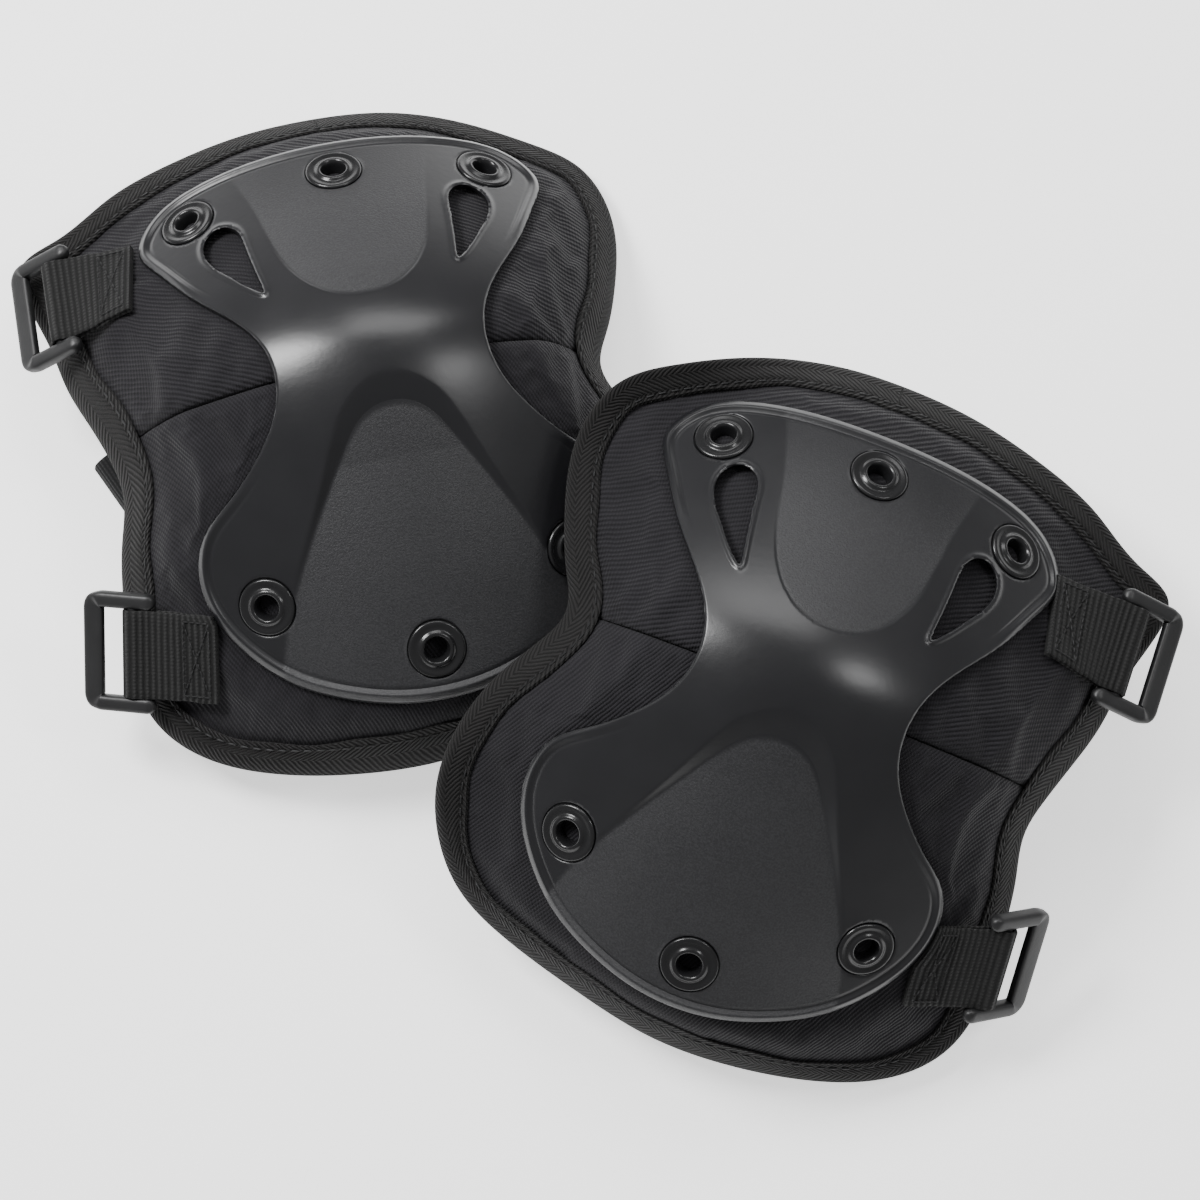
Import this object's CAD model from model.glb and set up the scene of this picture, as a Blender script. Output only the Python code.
import math

import bpy
import numpy as np
from mathutils import Matrix, Vector


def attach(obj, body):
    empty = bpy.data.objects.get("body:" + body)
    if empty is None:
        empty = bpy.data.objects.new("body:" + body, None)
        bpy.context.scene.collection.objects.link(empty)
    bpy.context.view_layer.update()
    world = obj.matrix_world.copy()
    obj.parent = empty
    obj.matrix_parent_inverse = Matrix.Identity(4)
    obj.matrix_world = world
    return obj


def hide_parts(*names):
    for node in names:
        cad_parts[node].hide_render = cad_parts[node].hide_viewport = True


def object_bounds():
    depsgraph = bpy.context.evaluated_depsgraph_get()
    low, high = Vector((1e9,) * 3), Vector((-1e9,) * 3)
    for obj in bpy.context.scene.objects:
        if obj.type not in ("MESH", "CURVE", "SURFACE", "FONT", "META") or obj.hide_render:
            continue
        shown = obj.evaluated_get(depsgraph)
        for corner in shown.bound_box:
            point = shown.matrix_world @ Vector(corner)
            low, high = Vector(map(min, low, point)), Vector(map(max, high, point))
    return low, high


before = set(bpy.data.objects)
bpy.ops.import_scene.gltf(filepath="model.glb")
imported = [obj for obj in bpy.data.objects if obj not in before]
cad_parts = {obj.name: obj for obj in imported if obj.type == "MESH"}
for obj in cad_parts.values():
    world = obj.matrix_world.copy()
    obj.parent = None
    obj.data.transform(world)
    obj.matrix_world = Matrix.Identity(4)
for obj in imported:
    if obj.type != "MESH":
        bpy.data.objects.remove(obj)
cad_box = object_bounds()

# Each guard is made in its own frame, in millimetres: u to the buckle side, v up the leg, w out of the knee.
# The guard's matrix turns it, scales it to metres and puts it where the CAD has it.
MM = 0.001

# ---- form of a guard, as in the CAD ----
CROWN = 34.0
RIDGE_V = 12.0
BEND_SOFT = 25.0
BEND_UPPER = 0.67
BEND_LOWER = 0.465
WRAP_SOFT = 60.0
WRAP = 0.68
RIM_W = -40.0
WAIST_RISE = 15.0
WAIST_SPAN = 34.0
FULL_LIFT = 24.0
ROLL_SIDE = 28.0
ROLL_BOTTOM = 15.0
RIM_THICK = 5.0
PAD_THICK = 13.0
THICKEN = 30.0
SEAM_V = 8.5
BOTTOM_V = -105.0       # the guard's bottom edge, where its roll and binding are narrower
ROLL_BLEND = 35.0
BINDING_BLEND = 40.0
WING_START = 25.0       # the strap-side wing bends up from here outwards
WING_BLEND = (55.0, 50.0)
BINDING = 1.2
BINDING_SIDE = 10.5
BINDING_BOTTOM = 7.5
SHELL_GAP = 0.2
SHELL_THICK = 3.0
RIVETS = [(0, 85), (51.5, 79.2), (-51.5, 79.2), (0, -85), (51.8, -59.7), (-51.8, -59.7)]
BORE_R = 3.5
BARREL_R = 4.5
FLANGE_R = 9.6
SEAT_R = 10.2
SEAT_DEPTH = 1.1
WEB_WIDTH = 30.0
PLY = 1.4
TAB_GAP = 0.4
TABS = {
    "a_upper": {"at": (73, 64), "bar": (-1.5, 30), "slope": (0.43, 0.2), "length": 28.5, "droop": 14},
    "a_lower": {"at": (70, -70), "bar": (-6.5, 33), "slope": (0.53, -0.42), "length": 30, "droop": 0},
    "b_upper": {"at": (69, 64), "bar": (-1, 30), "slope": (0.43, 0.2), "length": 32, "droop": 0},
    "b_lower": {"at": (68.5, -58.5), "bar": (-5, 33), "slope": (0.54, -0.44), "length": 30, "droop": 16},
}
BAR_R = 2.0
LOOP_CLEAR = 0.3
SLOT = 7.5
OUTER_BAR = 6.0
OUTER_BAR_THICK = 3.4
RAIL_BACK = 8.0
RAIL_WIDTH = 4.6
RAIL_THICK = 5.0
BUCKLE_PLAY = 0.5
BUCKLE_SWELL = 0.8      # the moulded rails are this much fuller than the CAD's
STRAP_WIDTH = 28.0
STRAP_THICK = 2.0
FOLD_R = 5.0
LAY = 0.3
SETTLE = 40.0
STRAPS = {
    "a_upper": {"sewn": (84, 78), "toward": (-96, 2), "drop": [(6, 3.4), (16, 1)], "back": 110},
    "a_lower": {"sewn": (88, -48), "toward": (-80, -54), "drop": [(7, 5.5), (20, 1)], "back": 110},
    "b_upper": {"sewn": (-88, 50), "toward": (60, 41), "drop": [(-2, 60), (20, 50.2), (60, 1)], "back": 75},
    "b_lower": {"sewn": (-88, -63), "toward": (40, -64), "drop": [(-1, 27.6), (6, 26.2), (36, 1)],
                "back": 80},
}
LIES = {
    "a": {"at": (-68.4, 50.1, 54.52), "yaw": 12.5, "lean_x": 4.5, "lean_y": 1, "mirrored": True,
          "wing_lift": 0},
    "b": {"at": (63.5, -59.2, 70.62), "yaw": -21.4, "lean_x": 2, "lean_y": -10.8, "mirrored": False,
          "wing_lift": 21},
}
CENTRE = (0.0, SEAM_V)  # rays from here cross each outline once

# ---- outlines in plan, (u, v) points on smooth closed curves ----
PAD_OUTLINE = [
    (0, 120.5), (27, 119), (52.5, 113.5), (75.5, 105), (96, 93.5), (109.5, 86), (109.5, 72), (105, 55),
    (102, 37.5), (97, 21.5), (92.5, 7.5), (90.5, -5), (94, -20), (97.5, -40), (99, -62.5), (94, -82),
    (80.5, -96.5), (57.5, -107), (30.5, -112.5), (0, -113.5), (-30, -108), (-57.5, -100.5), (-77.5, -91),
    (-91, -76), (-97.5, -60), (-98, -42), (-92.5, -22), (-83.5, -5.5), (-78.5, 8), (-83.5, 20.5),
    (-91, 38.5), (-95.5, 55.5), (-95.5, 69.5), (-89, 85.5), (-74.5, 97), (-52, 109.5), (-27, 118)]
SHELL_HALF = [
    (0, 98.5), (23, 97.8), (43, 95), (57, 90), (66, 82), (69.5, 72.5), (65.5, 63), (56, 47), (43.5, 31),
    (36.8, 18), (35.6, 7), (38.5, -4), (46, -14.5), (58, -25), (68, -33.5), (71.5, -44), (69.5, -57),
    (61, -71.5), (47, -85), (31, -93.5), (15, -98.5), (0, -100)]
VENTS = 2
FAR = 99.0
SHELL_OUTLINE = SHELL_HALF + [(-u, v) for u, v in reversed(SHELL_HALF[1:-1])]
VENT = [(41, 72), (46.5, 69.5), (48.8, 63), (46.5, 56), (41, 48.5), (35.5, 41.8), (33, 40), (33, 43),
        (34.2, 52), (35.2, 62), (37, 69.5)]
# right halves of the arched panel's outer and inner edges, top to bottom
ARCH_OUTER = [
    (0, 2.5), (12, -1), (20, -12), (25, -23), (32, -37), (40, -52), (48, -68), (54, -84), (58, -110)]
ARCH_INNER = [
    (0, -7.5), (9, -10), (15, -15.5), (22, -25.5), (29, -36.5), (36, -48), (44, -63), (51, -80), (56, -110)]
PATCH_HALF = [(3, 31), (13, 34.5), (21, 43), (26, 56), (29, 72), (34, 90), (38, 112)]

# ---- relief of the shell ----
LIP_HEIGHT = 0.9
LIP_AT = 1.7            # middle of the lip's bead, in from the edge
LIP_HALF = 1.5
LIP_GROOVE = 0.45
LIP_TOP = (44.0, 16.0)  # the lip grows from this v, over this length, to the top
LIP_BOTTOM = (-18.0, 22.0)
EDGE_R = 1.1            # rounding of the shell's edge
WALL_STEP = 0.35        # the walls of the shell's edge and vents go down in steps of this height
ARCH_DEPTH = 3.6
ARCH_FADE = 62.0        # length over which the arched panel's depth fades out
ARCH_FADE_V = -8.0      # from here down
GRAIN_EDGE = 2.0        # width over which the grain begins
PATCH_DEPTH = 0.35
PATCH_LINE = 0.22       # groove round the patch
PATCH_FADE = (48.0, 20.0)   # the patch's step fades out from this v, over this length
VENT_RIM = 0.75         # raised rim round a vent
VENT_RIM_WIDTH = 2.3
VENT_ROUND = 0.7        # the vent's edge is rounded over this width

# ---- cloth ----
SWELL_PRESSURE = 3.0    # the covers swell under this pressure, for this many frames and millimetres
SWELL_FRAMES = 20
SWELL_LIMIT = 1.6
NOSE = 3.0              # the binding's rounded edge begins this far in
TAPE_START = 14.0       # place across the tape of its inner edge, and the step to the next line of points
TAPE_STEP = 0.9
VALLEY = 2.0            # the binding's stitches lie this far in from its inner edge
STITCH_PITCH = 4.2      # lockstitch along the binding
STITCH_LENGTH = 2.9
STITCH_R = 0.32
SEWN_LENGTH = 13.0      # sewn part of a tab
STITCH_INSET = 2.2      # the box of stitches lies this far in from the webbing's edges
SEWING_PITCH = 2.4
THREAD_R = 0.26
WEB_SWELL = 0.6         # the webbing swells by this much before it goes round the bar


# ======== design functions ========

def ease(t):
    """Ease from 0 to 1."""
    t = np.clip(t, 0.0, 1.0)
    return t * t * (3 - 2 * t)


def ramp(t, soft=0.1):
    """A straight ramp from 0 to 1 with rounded corners."""
    return 0.5 + 0.5 * (np.sqrt(t * t + soft * soft) - np.sqrt((t - 1) ** 2 + soft * soft))


def bump_at(distance, half):
    """A rounded bead: 1 in the middle and 0 from half outwards."""
    return ease(1 - np.abs(distance) / half)


def closed_curve(points, count):
    """count points, evenly spaced, on the smooth closed curve through the given points."""
    knots = np.array(points, float)
    total = len(knots)
    following = np.roll(knots, -1, axis=0)
    chord = np.linalg.norm(following - knots, axis=1)
    slope = (following - knots) / chord[:, None]
    system = np.zeros((total, total))
    for i in range(total):
        system[i, i - 1] += chord[i - 1]
        system[i, i] += 2 * (chord[i - 1] + chord[i])
        system[i, (i + 1) % total] += chord[i]
    bends = np.linalg.solve(system, 6 * (slope - np.roll(slope, 1, axis=0)))
    fine = []
    for i in range(total):
        b = np.linspace(0, 1, 24, endpoint=False)[:, None]
        a = 1 - b
        j = (i + 1) % total
        bent = ((a ** 3 - a) * bends[i] + (b ** 3 - b) * bends[j]) * chord[i] ** 2 / 6
        fine.append(a * knots[i] + b * knots[j] + bent)
    fine = np.vstack(fine)
    return evenly(np.vstack([fine, fine[:1]]), count + 1)[:-1]


def evenly(line, count):
    """count points, evenly spaced, along a line of points."""
    steps = np.linalg.norm(np.diff(line, axis=0), axis=1)
    along = np.concatenate([[0], np.cumsum(steps)])
    wanted = np.linspace(0, along[-1], count)
    return np.column_stack([np.interp(wanted, along, line[:, k]) for k in range(line.shape[1])])


def distance_to(line, points):
    """Distance of each point in plan to the nearest point of a dense line."""
    best = np.full(len(points), 1e9)
    for start in range(0, len(points), 4000):
        part = points[start:start + 4000]
        gap = (part[:, None, 0] - line[None, :, 0]) ** 2 + (part[:, None, 1] - line[None, :, 1]) ** 2
        best[start:start + 4000] = gap.min(axis=1)
    return np.sqrt(best)


def inside(outline, points):
    """Whether each point in plan lies inside a closed outline."""
    result = np.zeros(len(points), bool)
    u, v = points[:, 0], points[:, 1]
    for (u0, v0), (u1, v1) in zip(outline, np.roll(outline, -1, axis=0)):
        if v0 == v1:
            continue
        crosses = (v0 > v) != (v1 > v)
        result ^= crosses & (u < u0 + (u1 - u0) * (v - v0) / (v1 - v0))
    return result


def signed(outline, points):
    """Distance to a closed outline: positive inside, negative outside."""
    return distance_to(outline, points) * np.where(inside(outline, points), 1, -1)


def crown(u, v):
    """Height of the guard's main form, without the roll to the rim."""
    slope = np.where(v > RIDGE_V, BEND_UPPER, BEND_LOWER)
    bend = slope * (np.hypot(v - RIDGE_V, BEND_SOFT) - BEND_SOFT)
    return CROWN - bend - WRAP * (np.hypot(u, WRAP_SOFT) - WRAP_SOFT)


def rim_height(u, v, wing_lift):
    """Height of the rim: arched up at the waist, and bent up on the strap side by wing_lift."""
    waist = WAIST_RISE * np.exp(-((v - SEAM_V) / WAIST_SPAN) ** 2)
    wing = ease((-u - WING_START) / WING_BLEND[0]) * ease((v - BOTTOM_V) / WING_BLEND[1])
    return RIM_W + waist * (1 - wing * wing_lift / FULL_LIFT) + wing_lift * wing


def pad_front(u, v, rim, wing_lift):
    """Height of the pad's outer face: the crown, rolled down to the rim."""
    roll = ROLL_BOTTOM + (ROLL_SIDE - ROLL_BOTTOM) * ease((v - BOTTOM_V) / ROLL_BLEND)
    drop = np.clip(1 - rim / roll, 0, 1) ** 2
    base = crown(u, v)
    return base - (base - rim_height(u, v, wing_lift)) * drop


def pad_back(u, v, rim, wing_lift):
    """Height of the pad's inner face."""
    return pad_front(u, v, rim, wing_lift) - RIM_THICK - (PAD_THICK - RIM_THICK) * ease(rim / THICKEN)


def binding_width(v):
    return BINDING_BOTTOM + (BINDING_SIDE - BINDING_BOTTOM) * ease((v - BOTTOM_V) / BINDING_BLEND)


def shell_height(u, v):
    return crown(u, v) + SHELL_GAP + SHELL_THICK


def normal_of(height, u, v):
    """Unit normal of a height function, at one place."""
    step = 0.5
    slope_u = (height(u + step, v) - height(u - step, v)) / (2 * step)
    slope_v = (height(u, v + step) - height(u, v - step)) / (2 * step)
    return Vector((-float(slope_u), -float(slope_v), 1)).normalized()


def guard_matrix(lie):
    """A guard's own frame, in millimetres, to the row frame, in metres."""
    mirror = Matrix.Diagonal((-1 if lie["mirrored"] else 1, 1, 1, 1))
    yaw = Matrix.Rotation(math.radians(lie["yaw"]), 4, "Z")
    lean_x = Matrix.Rotation(math.radians(lie["lean_x"]), 4, "Y")
    lean_y = Matrix.Rotation(math.radians(-lie["lean_y"]), 4, "X")
    return Matrix.Scale(MM, 4) @ Matrix.Translation(lie["at"]) @ lean_y @ lean_x @ yaw @ mirror


PAD_LINE = closed_curve(PAD_OUTLINE, 1200)
SHELL_LINE = closed_curve(SHELL_OUTLINE, 1200)


# ======== meshes ========

def add_mesh(name, points, faces, material, matrix, weave=None, grain=None, smooth=True):
    """A mesh from points in a local frame. weave is each point's place in the cloth, in millimetres."""
    points = np.asarray(points, float)
    placed = points @ np.array(matrix.to_3x3()).T + np.array(matrix.translation)
    if matrix.determinant() < 0:
        faces = [tuple(reversed(face)) for face in faces]
    mesh = bpy.data.meshes.new(name)
    mesh.from_pydata(placed.tolist(), [], [tuple(int(i) for i in face) for face in faces])
    mesh.update()
    place = points if weave is None else np.asarray(weave, float)
    store = mesh.attributes.new("weave", "FLOAT_VECTOR", "POINT")
    store.data.foreach_set("vector", place.astype(np.float32).ravel())
    if grain is not None:
        store = mesh.attributes.new("grain", "FLOAT", "POINT")
        store.data.foreach_set("value", np.asarray(grain, np.float32))
    mesh.materials.append(material)
    if smooth:
        mesh.polygons.foreach_set("use_smooth", np.ones(len(mesh.polygons), bool))
        mesh.set_sharp_from_angle(angle=math.radians(50))
    piece = bpy.data.objects.new(name, mesh)
    bpy.context.scene.collection.objects.link(piece)
    return piece


def grid_faces(rows, columns, closed):
    """Quads of a grid of points stored row by row. A closed grid joins its last column to its first."""
    i, j = np.meshgrid(np.arange(rows - 1), np.arange(columns if closed else columns - 1), indexing="ij")
    i, j = i.ravel(), j.ravel()
    k = (j + 1) % columns
    return np.column_stack([i * columns + j, i * columns + k, (i + 1) * columns + k, (i + 1) * columns + j])


def borders(faces):
    """Directed edges that only one face uses."""
    edges = np.vstack([faces[:, [a, (a + 1) % 4]] for a in range(4)])
    edges = edges[edges[:, 0] != edges[:, 1]]
    key = np.sort(edges, axis=1)
    _, index, count = np.unique(key, axis=0, return_index=True, return_counts=True)
    return edges[index[count == 1]]


def join(parts):
    """Several (points, faces, weave) as one."""
    points, faces, weave = [], [], []
    base = 0
    for some_points, some_faces, some_weave in parts:
        points.append(some_points)
        weave.append(some_weave)
        faces += [tuple(i + base for i in face) for face in some_faces]
        base += len(some_points)
    return np.vstack(points), faces, np.vstack(weave)


def sweep(centres, rights, ups, section, weave_length):
    """A closed form along a line: section(k) gives the (across, up) points at station k."""
    rings = []
    weave = []
    for k in range(len(centres)):
        ring = section(k)
        rings.append(centres[k] + ring[:, :1] * rights[k] + ring[:, 1:] * ups[k])
        weave.append(np.column_stack([np.full(len(ring), weave_length[k]), ring]))
    size = len(rings[0])
    faces = [tuple(face) for face in grid_faces(len(rings), size, True)]
    faces.append(tuple(reversed(range(size))))
    last = (len(rings) - 1) * size
    faces.append(tuple(range(last, last + size)))
    return np.vstack(rings), [tuple(reversed(face)) for face in faces], np.vstack(weave)


def turned(profile, segments):
    """A closed (r, h) profile turned about the h axis."""
    profile = np.array(profile, float)
    points = []
    for k in range(segments):
        angle = 2 * math.pi * k / segments
        points.append(np.column_stack([
            profile[:, 0] * math.cos(angle), profile[:, 0] * math.sin(angle), profile[:, 1]]))
    points = np.vstack(points)
    size = len(profile)
    i, j = np.meshgrid(np.arange(segments), np.arange(size), indexing="ij")
    i, j = i.ravel(), j.ravel()
    k = (i + 1) % segments
    m = (j + 1) % size
    faces = np.column_stack([i * size + j, k * size + j, k * size + m, i * size + m])
    return points, [tuple(face) for face in faces], points


def capsules(places, alongs, ups, length, radius):
    """Short threads: one rounded capsule at each place."""
    profile = [(-0.5, 0.0), (-0.44, 0.7), (-0.25, 1.0), (0.25, 1.0), (0.44, 0.7), (0.5, 0.0)]
    sides = 6
    parts = []
    for place, along, up in zip(places, alongs, ups):
        side = np.cross(up, along)
        side = side / np.linalg.norm(side)
        points = []
        for x, r in profile:
            arch = radius * 0.6 * math.cos(math.pi * x)
            for q in range(sides):
                angle = 2 * math.pi * q / sides
                offset = side * math.cos(angle) * r * radius + up * (math.sin(angle) * r * radius + arch)
                points.append(place + along * x * length + offset)
        faces = [tuple(face) for face in grid_faces(len(profile), sides, True)]
        parts.append((np.array(points), faces, np.array(points)))
    return join(parts)


# ======== materials ========

FLOOR_GLOW = 1.1

class Paint:
    """A node material under construction."""

    def __init__(self, name, colour, roughness, sheen=0.0, specular=0.5):
        self.material = bpy.data.materials.new(name)
        self.material.use_nodes = True
        self.tree = self.material.node_tree
        self.shader = self.tree.nodes["Principled BSDF"]
        self.shader.inputs["Base Color"].default_value = (*colour, 1)
        self.shader.inputs["Roughness"].default_value = roughness
        self.shader.inputs["Sheen Weight"].default_value = sheen
        self.shader.inputs["Sheen Roughness"].default_value = 0.45
        self.shader.inputs["Specular IOR Level"].default_value = specular

    def add(self, kind, inputs, **settings):
        """A new node. inputs are values or other nodes' outputs, by socket name or number."""
        node = self.tree.nodes.new("ShaderNode" + kind)
        for key, value in settings.items():
            setattr(node, key, value)
        for key, value in inputs.items():
            if isinstance(value, bpy.types.NodeSocket):
                self.tree.links.new(value, node.inputs[key])
            else:
                node.inputs[key].default_value = value
        return node

    def maths(self, operation, a, b=0.0, c=0.0):
        return self.add("Math", {0: a, 1: b, 2: c}, operation=operation).outputs[0]

    def attribute(self, name, output="Vector"):
        return self.add("Attribute", {}, attribute_name=name).outputs[output]

    def noise(self, vector, scale, detail=3.0, rough=0.55):
        inputs = {"Vector": vector, "Scale": scale, "Detail": detail, "Roughness": rough}
        return self.add("TexNoise", inputs).outputs["Fac"]

    def stripes(self, vector, direction, pitch, wobble=0.0):
        """Rounded ribs from 0 to 1, pitch apart, counted along a direction in the cloth."""
        along = self.add("VectorMath", {0: vector, 1: direction}, operation="DOT_PRODUCT").outputs["Value"]
        if wobble:
            shift = self.maths("MULTIPLY", self.noise(vector, 0.12), wobble)
            along = self.maths("ADD", along, shift)
        turn = self.maths("MULTIPLY", along, 2 * math.pi / pitch)
        return self.maths("MULTIPLY_ADD", self.maths("SINE", turn), 0.5, 0.5)

    def colour(self, factor, dark, light):
        """Base colour from dark to light by a factor."""
        mixed = self.add("MixRGB", {"Fac": factor, "Color1": (*dark, 1), "Color2": (*light, 1)})
        self.tree.links.new(mixed.outputs[0], self.shader.inputs["Base Color"])

    def rough(self, factor, low, high):
        ranged = self.add("MapRange", {"Value": factor, "To Min": low, "To Max": high})
        self.tree.links.new(ranged.outputs[0], self.shader.inputs["Roughness"])

    def bump(self, height, millimetres, strength=1.0):
        inputs = {"Height": height, "Distance": millimetres * MM, "Strength": strength}
        bumped = self.add("Bump", inputs)
        previous = self.shader.inputs["Normal"]
        if previous.is_linked:
            self.tree.links.new(previous.links[0].from_socket, bumped.inputs["Normal"])
        self.tree.links.new(bumped.outputs[0], self.shader.inputs["Normal"])


def shell_plastic():
    """Satin moulded plastic, with a matte grain where the mesh's grain is 1, and faint scuffs."""
    paint = Paint("shell_plastic", (0.012, 0.012, 0.013), 0.3, specular=0.45)
    place = paint.attribute("weave")
    grain = paint.attribute("grain", "Fac")
    blotch = paint.noise(place, 0.035, 4.0)
    speck = paint.noise(place, 1.5, 2.0, 0.7)
    specks = paint.maths("MULTIPLY", paint.maths("POWER", speck, 3.0), paint.maths("MULTIPLY", grain, 4.0))
    tone = paint.maths("MULTIPLY_ADD", blotch, 0.3, specks)
    paint.colour(tone, (0.007, 0.007, 0.0082), (0.022, 0.022, 0.024))
    smear = paint.maths("MULTIPLY_ADD", grain, 0.6, paint.maths("MULTIPLY", blotch, 0.4))
    paint.rough(smear, 0.24, 0.56)
    paint.bump(paint.noise(place, 0.45, 2.0), 0.03)
    paint.bump(paint.maths("MULTIPLY", speck, grain), 0.16)
    return paint.material


def satin_plastic(name, colour, roughness, speckle):
    """Moulded plastic with a fine orange-peel surface and handling marks."""
    paint = Paint(name, colour, roughness, specular=0.4)
    place = paint.attribute("weave")
    worn = paint.noise(place, 0.09, 5.0, 0.65)
    lighter = tuple(c * 1.5 for c in colour)
    paint.colour(worn, colour, lighter)
    paint.rough(worn, roughness - 0.07, roughness + 0.12)
    paint.bump(paint.noise(place, 1.1, 2.0), speckle)
    return paint.material


def twill(name, direction, pitch, dark, light, depth=0.34):
    """Ribbed twill: rounded diagonal ribs crossed by fine threads."""
    paint = Paint(name, dark, 0.85, sheen=0.05, specular=0.18)
    place = paint.attribute("weave")
    ribs = paint.stripes(place, direction, pitch, wobble=0.8)
    cross = (-direction[1] * 0.92 + direction[0] * 0.4, direction[0] * 0.92 + direction[1] * 0.4, 0.0)
    threads = paint.stripes(place, cross, 0.9)
    fuzz = paint.noise(place, 2.2, 2.0, 0.7)
    height = paint.maths("MULTIPLY_ADD", threads, 0.3, paint.maths("MULTIPLY_ADD", fuzz, 0.5, ribs))
    patchy = paint.maths("MULTIPLY_ADD", paint.noise(place, 0.05), 0.5, paint.maths("MULTIPLY", height, 0.42))
    paint.colour(patchy, dark, light)
    paint.bump(height, depth)
    return paint.material


def herringbone(name, dark, light):
    """Folded tape: ribs that slant one way and the other in bands along it."""
    paint = Paint(name, dark, 0.88, sheen=0.04, specular=0.15)
    place = paint.attribute("weave")
    split = paint.add("SeparateXYZ", {"Vector": place})
    band = paint.maths("PINGPONG", split.outputs["Y"], 5.2)
    slanted = paint.maths("MULTIPLY_ADD", band, 1.25, split.outputs["X"])
    shift = paint.maths("MULTIPLY", paint.noise(place, 0.15), 2.2)
    turn = paint.maths("MULTIPLY", paint.maths("ADD", slanted, shift), 2 * math.pi / 2.1)
    ribs = paint.maths("MULTIPLY_ADD", paint.maths("SINE", turn), 0.5, 0.5)
    fuzz = paint.noise(place, 1.8, 3.0, 0.7)
    height = paint.maths("MULTIPLY_ADD", fuzz, 0.6, ribs)
    paint.colour(paint.maths("MULTIPLY", height, 0.6), dark, light)
    paint.bump(height, 0.42)
    return paint.material


def webbing(name, dark, light, rib, depth):
    """Woven tape: cross ribs and lengthwise rows of knots."""
    paint = Paint(name, dark, 0.82, sheen=0.04, specular=0.2)
    place = paint.attribute("weave")
    ribs = paint.stripes(place, (1.0, 0.0, 0.0), rib, wobble=0.5)
    rows = paint.stripes(place, (0.0, 1.0, 0.0), 1.3)
    fuzz = paint.noise(place, 1.6, 3.0, 0.75)
    knots = paint.maths("MULTIPLY", rows, ribs)
    height = paint.maths("MULTIPLY_ADD", fuzz, 0.9, paint.maths("MULTIPLY_ADD", knots, 0.6, ribs))
    paint.colour(paint.maths("MULTIPLY", height, 0.42), dark, light)
    paint.bump(height, depth)
    return paint.material


def brushed_loops(name, dark, light, scale):
    """Knitted lining or hook tape: small raised cells."""
    paint = Paint(name, dark, 0.9, sheen=0.06, specular=0.15)
    place = paint.attribute("weave")
    cells = paint.add("TexVoronoi", {"Vector": place, "Scale": scale}).outputs["Distance"]
    fuzz = paint.noise(place, scale * 1.5, 2.0)
    height = paint.maths("MULTIPLY_ADD", fuzz, 0.3, cells)
    paint.colour(height, light, dark)
    paint.bump(height, 0.25)
    return paint.material


def hook_tape():
    """Rows of small hooks, for the CAD's own hook patches, by their place in metres."""
    paint = Paint("hook_tape", (0.02, 0.02, 0.022), 0.75)
    place = paint.add("TexCoord", {}).outputs["Object"]
    cells = paint.add("TexVoronoi", {"Vector": place, "Scale": 700.0}).outputs["Distance"]
    paint.colour(cells, (0.05, 0.05, 0.053), (0.014, 0.014, 0.016))
    paint.bump(cells, 0.4)
    return paint.material


def washer_metal():
    """Zinc-plated steel, slightly dulled."""
    paint = Paint("washer_steel", (0.42, 0.43, 0.45), 0.34)
    paint.shader.inputs["Metallic"].default_value = 1.0
    place = paint.add("TexCoord", {}).outputs["Object"]
    dull = paint.noise(place, 240.0, 4.0)
    paint.colour(dull, (0.34, 0.35, 0.37), (0.56, 0.57, 0.58))
    paint.rough(dull, 0.26, 0.46)
    paint.bump(paint.noise(place, 900.0), 0.02)
    return paint.material


def floor_paint():
    """White studio paper, lit from behind."""
    paint = Paint("studio_floor", (0.92, 0.92, 0.92), 0.9)
    place = paint.add("TexCoord", {}).outputs["Object"]
    paint.colour(paint.noise(place, 6.0), (0.91, 0.91, 0.91), (0.93, 0.93, 0.93))
    paint.shader.inputs["Emission Color"].default_value = (1, 1, 1, 1)
    paint.shader.inputs["Emission Strength"].default_value = FLOOR_GLOW
    return paint.material


def direction(degrees):
    return (math.cos(math.radians(degrees)), math.sin(math.radians(degrees)), 0.0)


FABRIC_DARK = (0.0016, 0.0015, 0.0020)
FABRIC_LIGHT = (0.019, 0.018, 0.021)
MATERIALS = {
    "shell": shell_plastic(),
    "rivet": satin_plastic("rivet_plastic", (0.007, 0.007, 0.0075), 0.22, 0.02),
    "buckle": satin_plastic("buckle_plastic", (0.010, 0.010, 0.0105), 0.42, 0.05),
    "upper": twill("upper_twill", direction(118), 1.5, FABRIC_DARK, FABRIC_LIGHT),
    "lower": twill("lower_twill", direction(150), 1.1, FABRIC_DARK, FABRIC_LIGHT, 0.24),
    "binding": herringbone("binding_tape", (0.0026, 0.0026, 0.0026), (0.021, 0.020, 0.020)),
    "webbing": webbing("tab_webbing", (0.003, 0.003, 0.003), (0.026, 0.026, 0.026), 2.2, 0.3),
    "elastic": webbing("strap_elastic", (0.003, 0.003, 0.0032), (0.022, 0.022, 0.023), 1.2, 0.2),
    "lining": brushed_loops("lining_knit", (0.004, 0.004, 0.0045), (0.02, 0.02, 0.022), 0.55),
    "thread": satin_plastic("thread", (0.006, 0.006, 0.0065), 0.6, 0.05),
    "hooks": hook_tape(),
    "washer": washer_metal(),
}


# ======== shell ========

def half_line(half):
    """A symmetric open line from its right half, left end first, as dense points."""
    points = [(-u, v) for u, v in reversed(half)] + [(u, v) for u, v in half if u > 0]
    line = np.array(points, float)
    smooth_line = np.vstack([line[0], (line[:-1] + line[1:]) / 2, line[-1]])
    return evenly(catmull(smooth_line), 600)


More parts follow.
